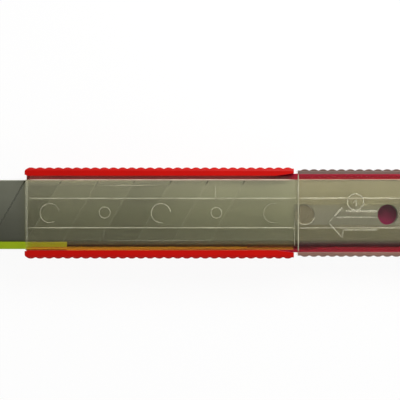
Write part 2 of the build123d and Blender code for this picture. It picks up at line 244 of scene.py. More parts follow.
# Tempered spring steel: bright grey with faint rolling lines along the strip, drawn coarser than real ones so
# that they show. A stretch is the width of a line over its length.
ROLLING_LINE, ROLLING_STRETCH, ROLLING_DEPTH = 0.12 * MM, 0.02, 0.01 * MM
SPRING_DULL, SPRING_BRIGHT = "#A3A29C", "#BDBCB5"
spring_steel = new_material("rolled_spring_steel")
t = spring_steel.node_tree
where = node(t, "ShaderNodeTexCoord").outputs["Object"]
along = node(t, "ShaderNodeMapping", {"Scale": (ROLLING_STRETCH, 1.0, 1.0)}, {"Vector": where}).outputs[0]
lines = node(
    t, "ShaderNodeTexNoise", {"Scale": 1 / ROLLING_LINE, "Detail": 2.0}, {"Vector": along}
).outputs["Fac"]
tone = node(
    t,
    "ShaderNodeMix",
    {FIRST: linear(SPRING_DULL), SECOND: linear(SPRING_BRIGHT)},
    {SHARE: lines},
    data_type="RGBA",
).outputs[MIXED]
gloss = node(t, "ShaderNodeMapRange", {"To Min": 0.22, "To Max": 0.38}, {"Value": lines}).outputs[0]
bump = node(t, "ShaderNodeBump", {"Strength": 0.2, "Distance": ROLLING_DEPTH}, {"Height": lines}).outputs[0]
skin = node(
    t,
    "ShaderNodeBsdfPrincipled",
    {"Metallic": 1.0},
    {"Base Color": tone, "Roughness": gloss, "Normal": bump},
).outputs[0]
node(t, "ShaderNodeOutputMaterial", links={"Surface": skin})
dress(spring_steel, "spring_rivet", "detent_spring_edge_side", "detent_spring_spine_side")

SPRING_THICKNESS = 0.28 * MM
RIVET_HOLE = 1.0 * MM


def add_piece(name, points, faces, material, body):
    """A new piece from points and faces, which moves with a body and takes the given material."""
    mesh = bpy.data.meshes.new(name)
    mesh.from_pydata(points.tolist(), [], faces)
    mesh.materials.append(material)
    made = bpy.data.objects.new(name, mesh)
    bpy.context.scene.collection.objects.link(made)
    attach(made, body)
    return made


def skin_faces(n, m, looped, first=0):
    """The faces over n rings of m points each, numbered from first. Quads join each ring to the next. Where
    the rings are looped, quads also join the last to the first, and otherwise a flat face shuts each end."""
    i, j = np.meshgrid(np.arange(n if looped else n - 1), np.arange(m), indexing="ij")
    i_next, j_next = (i + 1) % n, (j + 1) % m
    quads = np.stack([i * m + j, i * m + j_next, i_next * m + j_next, i_next * m + j], -1).reshape(-1, 4)
    rings = first + np.arange(n * m).reshape(n, m)
    ends = [] if looped else [rings[0, ::-1].tolist(), rings[-1].tolist()]
    return (first + quads).tolist() + ends


def bowed_strip(low, high, thickness, hole_radius):
    """A strip bowed along X with a round hole in the middle. In plan, each point is the straight mix of a
    point on the hole and the point of the outline in the same direction. The top's height is a circular arc
    over X, from the ends to the crown, and the under side lies one thickness lower. Upright walls join the
    two at the hole and at the outline. Gives rings of points, one for each direction."""
    directions, steps = 160, 25
    half = (high - low) / 2
    a = np.linspace(0, 2 * np.pi, directions, endpoint=False)
    ray = np.column_stack([np.cos(a), np.sin(a)])
    outline = ray / np.abs(ray).max(1, keepdims=True) * half[:2]
    share = np.linspace(0, 1, steps)[None, :, None]
    plan = (1 - share) * hole_radius * ray[:, None, :] + share * outline[:, None, :]
    rise = high[2] - low[2] - thickness
    arc_radius = (half[0] ** 2 + rise**2) / (2 * rise)
    top = high[2] - arc_radius + np.sqrt(arc_radius**2 - plan[..., 0] ** 2)
    plan = plan + (low[:2] + high[:2]) / 2
    upper = np.concatenate([plan, top[..., None]], -1)
    under = upper[:, ::-1] - np.array([0.0, 0.0, thickness])
    return np.concatenate([upper, under], 1)


spring_low, spring_high = (np.array(c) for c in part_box("leaf_spring"))
leaf_rings = bowed_strip(spring_low, spring_high, SPRING_THICKNESS, RIVET_HOLE)
leaf = add_piece(
    "bowed_leaf_spring",
    leaf_rings.reshape(-1, 3),
    skin_faces(*leaf_rings.shape[:2], looped=True),
    spring_steel,
    "handle",
)
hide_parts("leaf_spring")
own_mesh(leaf)

# The blades, one pushed out and nine in store under it. They are stamped from cold-rolled strip, hardened,
# ground to an edge and scored across so that the worn tip snaps off.

# Oiled carbon tool steel: dull olive grey, lined along the flats by rolling and across the bevel by grinding,
# with both kinds of line drawn coarser than real ones so that they show. Each length between two scores is
# painted a little lighter or darker, as painted light for how it catches the light. Oil darkens the steel in
# patches, and the steel is painted darker towards the edge and the patches stronger towards the tip, as
# painted shade. The bevel has no patches and is painted in bands of light and shade, dark brown at the edge
# with the guard's colour as a painted reflection, and plum in the neck as painted shade with reflected red.
FLAT_LINE, FLAT_STRETCH = 0.16 * MM, 0.015
BEVEL_LINE, BEVEL_STRETCH = 0.1 * MM, 0.03
LINE_DEPTH = 0.008 * MM
STEEL_SHADED_EDGE_SIDE, STEEL_LIGHTER_SPINE_SIDE = "#7E8072", "#A9AB99"
SNAP_PITCH, SNAP_LEAN = 10 * MM, 1 / np.tan(np.radians(60))
LENGTH_CATCH = 0.55
OIL_FILM, OIL_AND_SHADE_DARK = 14 * MM, "#3E3F34"
OIL_FILM_SHARE, OIL_FILM_END = 0.4, 1.4
OIL_AND_SHADE_AT_TIP, OIL_AND_SHADE_AT_REAR, TIP_SHADE_RUN = 1.4, 0.5, 80 * MM
BEVEL_WIDTH, BEVEL_MIDDLE, BEVEL_EDGE = 1.5 * MM, 0.83 * MM, 1.4 * MM
NECK_FROM, NECK_FULL = 25 * MM, 27 * MM
BEVEL_TOP_SHADE = "#646450"
BEVEL_MIDDLE_SHADING, BEVEL_MIDDLE_SHADING_IN_NECK = "#8A826C", "#6E545E"
BEVEL_EDGE_SHADING, BEVEL_EDGE_SHADING_IN_NECK = "#5E3A08", "#601030"
blade_low, blade_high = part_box("working_blade")
bevel_top = blade_low.y + BEVEL_WIDTH
first_score = blade_low.x + SNAP_LEAN * (blade_high.y - blade_low.y) / 2
blade_steel = new_material("oiled_carbon_tool_steel")
t = blade_steel.node_tree
place = node(t, "ShaderNodeTexCoord").outputs
where = place["Object"]
axes = node(t, "ShaderNodeSeparateXYZ", links={"Vector": where}).outputs
along = node(t, "ShaderNodeMapping", {"Scale": (FLAT_STRETCH, 1.0, 1.0)}, {"Vector": where}).outputs[0]
across = node(t, "ShaderNodeMapping", {"Scale": (1.0, BEVEL_STRETCH, 1.0)}, {"Vector": where}).outputs[0]
flat_lines = node(
    t, "ShaderNodeTexNoise", {"Scale": 1 / FLAT_LINE, "Detail": 2.0}, {"Vector": along}
).outputs["Fac"]
edge_lines = node(
    t, "ShaderNodeTexNoise", {"Scale": 1 / BEVEL_LINE, "Detail": 2.0}, {"Vector": across}
).outputs["Fac"]
on_bevel = node(t, "ShaderNodeMath", {1: bevel_top}, {0: axes["Y"]}, operation="LESS_THAN").outputs[0]
lines = node(t, "ShaderNodeMix", links={0: on_bevel, 2: flat_lines, 3: edge_lines}).outputs[0]
lean = node(
    t, "ShaderNodeMath", {1: -SNAP_LEAN}, {0: axes["Y"], 2: axes["X"]}, operation="MULTIPLY_ADD"
).outputs[0]
lengths = node(
    t,
    "ShaderNodeMath",
    {1: 1 / SNAP_PITCH, 2: -first_score / SNAP_PITCH},
    {0: lean},
    operation="MULTIPLY_ADD",
).outputs[0]
length_number = node(t, "ShaderNodeMath", links={0: lengths}, operation="FLOOR").outputs[0]
# Each length between two scores is painted a little lighter or darker, as painted light for how it catches
# the light.
catch = node(
    t, "ShaderNodeTexWhiteNoise", links={"W": length_number}, noise_dimensions="1D"
).outputs["Value"]
film = node(t, "ShaderNodeTexNoise", {"Scale": 1 / OIL_FILM, "Detail": 3.0}, {"Vector": where}).outputs["Fac"]
mottle = node(
    t, "ShaderNodeMath", {1: LENGTH_CATCH}, {0: catch, 2: film}, operation="MULTIPLY_ADD"
).outputs[0]
patch = node(
    t,
    "ShaderNodeMapRange",
    {"From Max": OIL_FILM_END, "To Min": OIL_FILM_SHARE, "To Max": 0.0},
    {"Value": mottle},
).outputs[0]
# The patches are painted stronger towards the tip, as painted shade.
toward_rear = node(
    t,
    "ShaderNodeMapRange",
    {"From Min": tray_low.x, "From Max": tray_low.x + TIP_SHADE_RUN, "To Min": OIL_AND_SHADE_AT_TIP, "To Max": OIL_AND_SHADE_AT_REAR},
    {"Value": axes["X"]},
).outputs[0]
patch = node(t, "ShaderNodeMath", links={0: patch, 1: toward_rear}, operation="MULTIPLY").outputs[0]
toward_spine = node(
    t, "ShaderNodeMapRange", {"From Min": bevel_top, "From Max": blade_high.y}, {"Value": axes["Y"]}
).outputs[0]
# Painted shade: the steel is painted darker from the spine towards the edge.
tone = node(
    t,
    "ShaderNodeMix",
    {FIRST: linear(STEEL_SHADED_EDGE_SIDE), SECOND: linear(STEEL_LIGHTER_SPINE_SIDE)},
    {SHARE: toward_spine},
    data_type="RGBA",
).outputs[MIXED]
tone = node(
    t, "ShaderNodeMix", {SECOND: linear(OIL_AND_SHADE_DARK)}, {SHARE: patch, FIRST: tone}, data_type="RGBA"
).outputs[MIXED]
# Across the bevel the steel is painted in bands of light and shade: dark brown at the edge with the guard's
# colour as a painted reflection, and plum in the neck as painted shade with reflected red.
in_neck = node(
    t, "ShaderNodeMapRange", {"From Min": NECK_FROM, "From Max": NECK_FULL}, {"Value": axes["X"]}
).outputs[0]
bevel_middle, bevel_edge = (
    node(
        t,
        "ShaderNodeMix",
        {FIRST: linear(one_tone), SECOND: linear(neck_tone)},
        {SHARE: in_neck},
        data_type="RGBA",
    ).outputs[MIXED]
    for one_tone, neck_tone in ((BEVEL_MIDDLE_SHADING, BEVEL_MIDDLE_SHADING_IN_NECK), (BEVEL_EDGE_SHADING, BEVEL_EDGE_SHADING_IN_NECK))
)
to_middle, to_edge = (
    node(
        t,
        "ShaderNodeMapRange",
        {"From Min": bevel_top - start, "From Max": bevel_top - end},
        {"Value": axes["Y"]},
    ).outputs[0]
    for start, end in ((0.0, BEVEL_MIDDLE), (BEVEL_MIDDLE, BEVEL_EDGE))
)
bevel_shading = node(
    t,
    "ShaderNodeMix",
    {FIRST: linear(BEVEL_TOP_SHADE)},
    {SHARE: to_middle, SECOND: bevel_middle},
    data_type="RGBA",
).outputs[MIXED]
bevel_shading = node(
    t, "ShaderNodeMix", links={SHARE: to_edge, FIRST: bevel_shading, SECOND: bevel_edge}, data_type="RGBA"
).outputs[MIXED]
tone = node(
    t, "ShaderNodeMix", links={SHARE: on_bevel, FIRST: tone, SECOND: bevel_shading}, data_type="RGBA"
).outputs[MIXED]

# The scores are rough and take their own tone from the edge to the spine. In the magazine that tone is
# painted lighter than the flats, as painted light against the shade in the grooves, and oil stands in them
# and evens most of their shape out, up to the spine, where they have run dry and look darkest.
SCORE_TILT, SCORE_UPWARD, SPINE_WALL = 0.95, 0.3, 0.25 * MM
DRY_FROM, DRY_TO, DRY_TONE = 2.2 * MM, 0.4 * MM, "#747666"
OUTSIDE_EDGE_SIDE, OUTSIDE_SPINE_SIDE = "#6E7064", "#8A8C80"
STORED_PAINTED_LIGHT_EDGE_SIDE, STORED_PAINTED_LIGHT_SPINE_SIDE = "#8E9084", "#BABCAE"
STORE_BLEND = 1 * MM
OIL_FILL = 0.7
MIX_VECTOR_FIRST, MIX_VECTOR_SECOND, MIXED_VECTOR = 4, 5, 1
facing = node(t, "ShaderNodeSeparateXYZ", links={"Vector": place["Normal"]}).outputs["Z"]
tilted = node(t, "ShaderNodeMath", {1: SCORE_TILT}, {0: facing}, operation="LESS_THAN").outputs[0]
upward = node(t, "ShaderNodeMath", {1: SCORE_UPWARD}, {0: facing}, operation="GREATER_THAN").outputs[0]
off_spine = node(
    t, "ShaderNodeMath", {1: blade_high.y - SPINE_WALL}, {0: axes["Y"]}, operation="LESS_THAN"
).outputs[0]
in_score = node(t, "ShaderNodeMath", links={0: tilted, 1: off_spine}, operation="MULTIPLY").outputs[0]
near_spine = node(
    t,
    "ShaderNodeMapRange",
    {"From Min": blade_high.y - DRY_FROM, "From Max": blade_high.y - DRY_TO},
    {"Value": axes["Y"]},
).outputs[0]
in_magazine = node(
    t,
    "ShaderNodeMapRange",
    {"From Min": tray_low.x - STORE_BLEND, "From Max": tray_low.x + STORE_BLEND},
    {"Value": axes["X"]},
).outputs[0]
level = node(
    t, "ShaderNodeMath", {1: -OIL_FILL, 2: OIL_FILL}, {0: near_spine}, operation="MULTIPLY_ADD"
).outputs[0]
for mask in (in_score, in_magazine, upward):
    level = node(t, "ShaderNodeMath", links={0: level, 1: mask}, operation="MULTIPLY").outputs[0]
open_score = node(t, "ShaderNodeMath", links={0: in_score, 1: level}, operation="SUBTRACT").outputs[0]
# Inside the magazine the scores' tone is painted lighter than the flats, as painted light against the shade
# in the grooves.
outside, stored_painted_light = (
    node(
        t,
        "ShaderNodeMix",
        {FIRST: linear(edge_side), SECOND: linear(spine_side)},
        {SHARE: toward_spine},
        data_type="RGBA",
    ).outputs[MIXED]
    for edge_side, spine_side in (
        (OUTSIDE_EDGE_SIDE, OUTSIDE_SPINE_SIDE),
        (STORED_PAINTED_LIGHT_EDGE_SIDE, STORED_PAINTED_LIGHT_SPINE_SIDE),
    )
)
score_tone = node(
    t, "ShaderNodeMix", links={SHARE: in_magazine, FIRST: outside, SECOND: stored_painted_light}, data_type="RGBA"
).outputs[MIXED]
score_tone = node(
    t, "ShaderNodeMix", {SECOND: linear(DRY_TONE)}, {SHARE: near_spine, FIRST: score_tone}, data_type="RGBA"
).outputs[MIXED]
tone = node(
    t, "ShaderNodeMix", links={SHARE: open_score, FIRST: tone, SECOND: score_tone}, data_type="RGBA"
).outputs[MIXED]
gloss = node(t, "ShaderNodeMapRange", {"To Min": 0.4, "To Max": 0.52}, {"Value": lines}).outputs[0]
gloss = node(t, "ShaderNodeMath", links={0: gloss, 1: open_score}, operation="MAXIMUM").outputs[0]
bump = node(t, "ShaderNodeBump", {"Strength": 0.15, "Distance": LINE_DEPTH}, {"Height": lines}).outputs[0]
evened = node(
    t,
    "ShaderNodeMix",
    {MIX_VECTOR_SECOND: (0.0, 0.0, 1.0)},
    {SHARE: level, MIX_VECTOR_FIRST: bump},
    data_type="VECTOR",
).outputs[MIXED_VECTOR]
skin = node(
    t,
    "ShaderNodeBsdfPrincipled",
    {"Metallic": 1.0},
    {"Base Color": tone, "Roughness": gloss, "Normal": evened},
).outputs[0]
node(t, "ShaderNodeOutputMaterial", links={"Surface": skin})
dress(blade_steel, "working_blade", *[f"spare_blade_{i}" for i in range(1, 10)])

# Edge guard. A thin angle strip moulded in lime polypropylene, which slides in its channel beside the blade's
# edge and has a lip over the edge at the front.

# Polypropylene: waxy and a little clouded. In the tray the red is painted into it as ochre, a painted light
# for the red shining through and reflected, least in the lip, more in the thin rail and all over the outer
# side.
# Its outer corner is paler towards the front.
LIME_GRAIN, LIME_GRAIN_HEIGHT = 0.4 * MM, 0.02 * MM
LIME_CLOUD = 6 * MM
LIME_DEEP, LIME_BRIGHT = "#849A08", "#92A80D"
OCHRE_INNER, OCHRE_OUTER = "#AA7210", "#A06A0E"
OCHRE_BLEND = 2 * MM
RAIL_TOP = 9.915 * MM
OCHRE_IN_LIP, OCHRE_IN_RAIL = 0.38, 0.85
OUTER_FROM, OUTER_FULL = -9.1 * MM, -9.3 * MM
CORNER_OCHRE = "#CC8C12"
CORNER_FROM, CORNER_FULL = -9.4 * MM, -9.6 * MM
CORNER_REAR, CORNER_FRONT = -2 * MM, -44 * MM
lime_polypropylene = new_material("moulded_lime_polypropylene")
t = lime_polypropylene.node_tree
where = node(t, "ShaderNodeTexCoord").outputs["Object"]
grain, cloud = (
    node(t, "ShaderNodeTexNoise", {"Scale": 1 / size, "Detail": detail}, {"Vector": where}).outputs["Fac"]
    for size, detail in ((LIME_GRAIN, 3.0), (LIME_CLOUD, 2.0))
)
axes = node(t, "ShaderNodeSeparateXYZ", links={"Vector": where}).outputs
# The share of ochre, where the tray's red is painted in as painted light shining through and reflected.
in_rail = node(t, "ShaderNodeMath", {1: RAIL_TOP}, {0: axes["Z"]}, operation="LESS_THAN").outputs[0]
shown = node(
    t, "ShaderNodeMapRange", {"To Min": OCHRE_IN_LIP, "To Max": OCHRE_IN_RAIL}, {"Value": in_rail}
).outputs[0]
outer = node(
    t, "ShaderNodeMapRange", {"From Min": OUTER_FROM, "From Max": OUTER_FULL}, {"Value": axes["Y"]}
).outputs[0]
shown = node(t, "ShaderNodeMath", links={0: shown, 1: outer}, operation="MAXIMUM").outputs[0]
in_tray = node(
    t,
    "ShaderNodeMapRange",
    {"From Min": tray_low.x, "From Max": tray_low.x + OCHRE_BLEND},
    {"Value": axes["X"]},
).outputs[0]
shown = node(t, "ShaderNodeMath", links={0: shown, 1: in_tray}, operation="MULTIPLY").outputs[0]
lime, ochre = (
    node(
        t,
        "ShaderNodeMix",
        {FIRST: linear(one_tone), SECOND: linear(other_tone)},
        {SHARE: share},
        data_type="RGBA",
    ).outputs[MIXED]
    for one_tone, other_tone, share in ((LIME_DEEP, LIME_BRIGHT, cloud), (OCHRE_INNER, OCHRE_OUTER, outer))
)
at_corner, to_front = (
    node(t, "ShaderNodeMapRange", {"From Min": start, "From Max": end}, {"Value": axes[axis]}).outputs[0]
    for axis, start, end in (("Y", CORNER_FROM, CORNER_FULL), ("X", CORNER_REAR, CORNER_FRONT))
)
corner = node(t, "ShaderNodeMath", links={0: at_corner, 1: to_front}, operation="MULTIPLY").outputs[0]
ochre = node(
    t, "ShaderNodeMix", {SECOND: linear(CORNER_OCHRE)}, {SHARE: corner, FIRST: ochre}, data_type="RGBA"
).outputs[MIXED]
tone = node(
    t, "ShaderNodeMix", links={SHARE: shown, FIRST: lime, SECOND: ochre}, data_type="RGBA"
).outputs[MIXED]
gloss = node(t, "ShaderNodeMapRange", {"To Min": 0.4, "To Max": 0.52}, {"Value": grain}).outputs[0]
bump = node(
    t, "ShaderNodeBump", {"Strength": 0.2, "Distance": LIME_GRAIN_HEIGHT}, {"Height": grain}
).outputs[0]
skin = node(
    t,
    "ShaderNodeBsdfPrincipled",
    {"IOR": 1.49, "Specular IOR Level": 0.3},
    {"Base Color": tone, "Roughness": gloss, "Normal": bump},
).outputs[0]
node(t, "ShaderNodeOutputMaterial", links={"Surface": skin})
dress(lime_polypropylene, "edge_guard")

# Window cover. A clear plate moulded with two long ribs, a fork at the rear for the drive pin and a flange
# along its spine side. It slides in between the tray's rails and closes the magazine.

# General-purpose polystyrene: clear with a smoky cast, long faint flow waves from the melt, hair scratches
# from use, drawn coarser than real ones so that they show, and over the oiled blades a thin haze.


def clear_polystyrene(name, body_tint, smoke_tint, smoke_depth, haze, rub, worn_beyond):
    """Clear moulded polystyrene whose smoke tint deepens with the thickness seen through. The haze has one
    share up to the middle, runs evenly from there to another at the blades' spine, and has a third over the
    ledge past the spine. A rub makes it thicker and yellower along the spine, most of all at the front.
    Beyond worn_beyond from the middle, the top edges are worn matt and brown with grime, and on the spine
    side painted darker as painted shade. Light that has been mirrored twice inside goes straight on, as a
    limit on bounces would turn the edges black."""
    flow_wave, flow_stretch, flow_height = 7 * MM, 0.35, 0.06 * MM
    hair_scratch, hair_stretch, hair_turn = 0.25 * MM, 0.02, 0.5
    haze_low, haze_high = -8.1 * MM, 9.15 * MM
    ledge_end, neck_start = 23 * MM, 25 * MM
    rub_width, rub_rear, rub_front, rub_tone = 1.9 * MM, 32 * MM, -30 * MM, "#F4F1CC"
    worn_above, worn_rise, worn_blend = 11.0 * MM, 0.3 * MM, 0.1 * MM
    worn_gloss, worn_clarity = 0.5, 0.25
    grime_edge_side, grime_and_shade_spine_side = "#7E584A", "#44200A"
    mirror_limit = 1.5
    material = new_material(name)
    t = material.node_tree
    where = node(t, "ShaderNodeTexCoord").outputs["Object"]
    axes = node(t, "ShaderNodeSeparateXYZ", links={"Vector": where}).outputs
    drawn = node(t, "ShaderNodeMapping", {"Scale": (flow_stretch, 1.0, 1.0)}, {"Vector": where}).outputs[0]
    flow = node(
        t, "ShaderNodeTexNoise", {"Scale": 1 / flow_wave, "Detail": 2.0}, {"Vector": drawn}
    ).outputs["Fac"]
    turned = node(
        t,
        "ShaderNodeMapping",
        {"Rotation": (0.0, 0.0, hair_turn), "Scale": (hair_stretch, 1.0, 1.0)},
        {"Vector": where},
    ).outputs[0]
    scratch = node(
        t, "ShaderNodeTexNoise", {"Scale": 1 / hair_scratch, "Detail": 1.0}, {"Vector": turned}
    ).outputs["Fac"]
    hair = node(
        t,
        "ShaderNodeMapRange",
        {"From Min": 0.62, "From Max": 0.72, "To Min": 0.03, "To Max": 0.1},
        {"Value": scratch},
    ).outputs[0]
    side = node(t, "ShaderNodeMath", links={0: axes["Y"]}, operation="ABSOLUTE").outputs[0]
    outer = node(
        t,
        "ShaderNodeMapRange",
        {"From Min": worn_beyond, "From Max": worn_beyond + worn_blend},
        {"Value": side},
    ).outputs[0]
    raised = node(
        t,
        "ShaderNodeMapRange",
        {"From Min": worn_above, "From Max": worn_above + worn_rise},
        {"Value": axes["Z"]},
    ).outputs[0]
    worn = node(t, "ShaderNodeMath", links={0: outer, 1: raised}, operation="MULTIPLY").outputs[0]
    gloss = node(t, "ShaderNodeMix", {3: worn_gloss}, {0: worn, 2: hair}).outputs[0]
    spine_side = node(t, "ShaderNodeMath", {1: 0.0}, {0: axes["Y"]}, operation="GREATER_THAN").outputs[0]
    # The grime is painted darker on the spine side as painted shade.
    grime_and_shade = node(
        t,
        "ShaderNodeMix",
        {FIRST: linear(grime_edge_side), SECOND: linear(grime_and_shade_spine_side)},
        {SHARE: spine_side},
        data_type="RGBA",
    ).outputs[MIXED]
    tint = node(
        t, "ShaderNodeMix", {FIRST: linear(body_tint)}, {SHARE: worn, SECOND: grime_and_shade}, data_type="RGBA"
    ).outputs[MIXED]
    clear = node(
        t,
        "ShaderNodeMapRange",
        {"From Min": 0.0, "From Max": haze_high, "To Min": 1 - haze[0], "To Max": 1 - haze[1]},
        {"Value": axes["Y"]},
    ).outputs[0]
    below = node(t, "ShaderNodeMath", {1: haze_low}, {0: axes["Y"]}, operation="LESS_THAN").outputs[0]
    beyond = node(t, "ShaderNodeMath", {1: haze_high}, {0: axes["Y"]}, operation="GREATER_THAN").outputs[0]
    to_spine, to_front = (
        node(t, "ShaderNodeMapRange", {"From Min": start, "From Max": end}, {"Value": axes[axis]}).outputs[0]
        for axis, start, end in (("Y", haze_high - rub_width, haze_high), ("X", rub_rear, rub_front))
    )
    rubbed = node(t, "ShaderNodeMath", links={0: to_spine, 1: to_front}, operation="MULTIPLY").outputs[0]
    rubbed = node(
        t, "ShaderNodeMath", links={0: rubbed, 1: beyond}, operation="SUBTRACT", use_clamp=True
    ).outputs[0]
    tint = node(
        t, "ShaderNodeMix", {SECOND: linear(rub_tone)}, {SHARE: rubbed, FIRST: tint}, data_type="RGBA"
    ).outputs[MIXED]
    clear = node(
        t, "ShaderNodeMath", {1: -rub}, {0: rubbed, 2: clear}, operation="MULTIPLY_ADD"
    ).outputs[0]
    over_ledge = node(
        t,
        "ShaderNodeMapRange",
        {"From Min": ledge_end, "From Max": neck_start, "To Min": 1 - haze[2]},
        {"Value": axes["X"]},
    ).outputs[0]
    past = node(t, "ShaderNodeMath", links={0: over_ledge, 1: beyond}, operation="MULTIPLY").outputs[0]
    for clearer in (below, past):
        clear = node(t, "ShaderNodeMath", links={0: clear, 1: clearer}, operation="MAXIMUM").outputs[0]
    clear = node(t, "ShaderNodeMix", {3: worn_clarity}, {0: worn, 2: clear}).outputs[0]
    bump = node(t, "ShaderNodeBump", {"Strength": 0.3, "Distance": flow_height}, {"Height": flow}).outputs[0]
    skin = node(
        t,
        "ShaderNodeBsdfPrincipled",
        {"IOR": 1.59},
        {"Base Color": tint, "Roughness": gloss, "Transmission Weight": clear, "Normal": bump},
    ).outputs[0]
    path = node(t, "ShaderNodeLightPath").outputs
    caught = node(
        t, "ShaderNodeMath", {1: mirror_limit}, {0: path["Glossy Depth"]}, operation="GREATER_THAN"
    ).outputs[0]
    passing = node(
        t, "ShaderNodeMath", links={0: caught, 1: path["Is Shadow Ray"]}, operation="MAXIMUM"
    ).outputs[0]
    through = node(t, "ShaderNodeBsdfTransparent", {"Color": linear(body_tint)}).outputs[0]
    lit = node(t, "ShaderNodeMixShader", links={0: passing, 1: skin, 2: through}).outputs[0]
    smoke = node(
        t, "ShaderNodeVolumeAbsorption", {"Color": linear(smoke_tint), "Density": smoke_depth}
    ).outputs[0]
    node(t, "ShaderNodeOutputMaterial", links={"Surface": lit, "Volume": smoke})
    return material


# The cover's smoke is olive. Its edges lie between the rails, so none of it is worn brown.
olive_polystyrene = clear_polystyrene(
    "smoky_olive_clear_polystyrene",
    "#F6F5EC",
    "#E6E4BA",
    110.0,
    haze=(0.012, 0.047, 0.018),
    rub=0.16,
    worn_beyond=20 * MM,
)
dress(olive_polystyrene, "window_cover")

# Marks on the cover. The mould leaves five rings where pins pushed the part out and the outline of an insert,
# and the rib crests and the long edge carry painted highlights, the long edge's pinkish with reflected red.


def straight(start, end, z):
    """Points in mm spread evenly from one place in plan to another, at one height."""
    n = 40
    return np.column_stack([np.linspace(start, end, n), np.full(n, z)])


def arc(centre, radius, start, end, z):
    """Points in mm on a circle from one angle to another, in degrees from +X towards +Y, at one height."""
    n = 48
    a = np.radians(np.linspace(start, end, n, endpoint=abs(end - start) < 360))
    return np.column_stack([centre[0] + radius * np.cos(a), centre[1] + radius * np.sin(a), np.full(n, z)])


def bead(path, width, height, fade):
    """A rounded bead along a path, with all sizes in mm: at each path point an upright ellipse, width across
    the path and twice the height high, half sunk in the surface that the path lies on. Over the fade share at
    each end it narrows to a tenth, by a straight line. With fade None the path is a loop and the bead stays
    even. Gives rings of points, and whether they are looped."""
    n, m = len(path), 10
    looped = fade is None
    ahead = np.roll(path, -1, 0) - np.roll(path, 1, 0) if looped else np.gradient(path, axis=0)
    ahead = ahead / np.linalg.norm(ahead, axis=1, keepdims=True)
    across = np.column_stack([-ahead[:, 1], ahead[:, 0], np.zeros(n)])
    turn = np.linspace(0, 2 * np.pi, m, endpoint=False)
    way = np.linspace(0, 1, n)
    swell = np.ones(n) if looped else np.clip(np.minimum(way, 1 - way) / fade, 0.1, 1)
    ring = width / 2 * np.cos(turn)[None, :, None] * across[:, None, :]
    ring = ring + height * np.sin(turn)[None, :, None] * np.array([0.0, 0.0, 1.0])
    return path[:, None, :] + swell[:, None, None] * ring, looped


def marks(name, beads, material, body):
    """One smooth piece from several beads, which moves with a body."""
    points, faces, first = [], [], 0
    for rings, looped in beads:
        points.append(rings.reshape(-1, 3) * MM)
        faces += skin_faces(*rings.shape[:2], looped, first)
        first += len(points[-1])
    made = add_piece(name, np.concatenate(points), faces, material, body)
    made.data.polygons.foreach_set("use_smooth", np.ones(len(faces), dtype=bool))


# Matt polystyrene: pale, dry and uneven along its length, for painted highlights and frosted lines. A painted
# highlight hides most of what is under it, a raised line hides less, and a line left by the mould only veils
# it.
MATT_PATCH = 2.5 * MM
FROST_DULL, FROST_PALE = "#A9A790", "#CBC9B4"


def matt_polystyrene(name, dull, pale, cover):
    """Matt polystyrene between two tones in patches, which hides a share of what is under it."""
    material = new_material(name)
    t = material.node_tree
    where = node(t, "ShaderNodeTexCoord").outputs["Object"]
    patch = node(
        t, "ShaderNodeTexNoise", {"Scale": 1 / MATT_PATCH, "Detail": 4.0}, {"Vector": where}
    ).outputs["Fac"]
    spread = node(
        t, "ShaderNodeMapRange", {"From Min": 0.35, "From Max": 0.65}, {"Value": patch}
    ).outputs[0]
    tone = node(
        t, "ShaderNodeMix", {FIRST: linear(dull), SECOND: linear(pale)}, {SHARE: spread}, data_type="RGBA"
    ).outputs[MIXED]
    gloss = node(t, "ShaderNodeMapRange", {"To Min": 0.45, "To Max": 0.65}, {"Value": patch}).outputs[0]
    skin = node(
        t, "ShaderNodeBsdfPrincipled", {"IOR": 1.59, "Alpha": cover}, {"Base Color": tone, "Roughness": gloss}
    ).outputs[0]
    node(t, "ShaderNodeOutputMaterial", links={"Surface": skin})
    return material


# Painted highlights along the rib crests, the sleeve's mouth and the spine edge; the one over red is pinkish
# with reflected red.
edge_highlight = matt_polystyrene("polystyrene_painted_edge_highlight", "#98967F", "#B6B49D", cover=0.85)
spine_edge = matt_polystyrene("polystyrene_painted_highlight_over_red", "#C8A999", "#DCC2B0", cover=0.85)
mould_line = matt_polystyrene("frosted_line_in_polystyrene", FROST_DULL, FROST_PALE, cover=0.3)
raised_line = matt_polystyrene("raised_line_on_polystyrene", FROST_DULL, FROST_PALE, cover=0.4)

# From here, the sizes and places of marks are in mm. Most beads stand LINE_HEIGHT high, and one with a SQUARE
# fade keeps its width almost to its ends.
LINE_HEIGHT, SQUARE = 0.03, 0.005
COVER_FACE, COVER_RIB, NECK_FACE = 11.8, 12.0, 11.05
COVER_REAR, FRONT_INSET = 25.7, 0.6
RIB_Y, RIB_SPINE_SIDE_WIDTH, RIB_EDGE_SIDE_WIDTH = 4.0, 0.25, 0.21
LONG_EDGE_Y, LONG_EDGE_WIDTH, LONG_EDGE_HEIGHT = 9.05, 0.35, 0.12
NECK_EDGE_Y, NECK_EDGE_WIDTH = 9.1, 0.16
# Each ring's centre, radius, the angles where it starts and ends, width and fade.
PUSHER_RINGS = (
    ((-41.1, 0.0), 2.6, 5, 305, 0.2, 0.06),
    ((-26.1, 0.15), 1.5, 0, 360, 0.22, None),
    ((-10.8, 0.0), 2.6, 0, 285, 0.26, 0.06),
    ((4.3, 0.1), 1.45, 0, 360, 0.22, None),
    ((19.8, 0.0), 2.6, 70, 290, 0.18, 0.12),
)
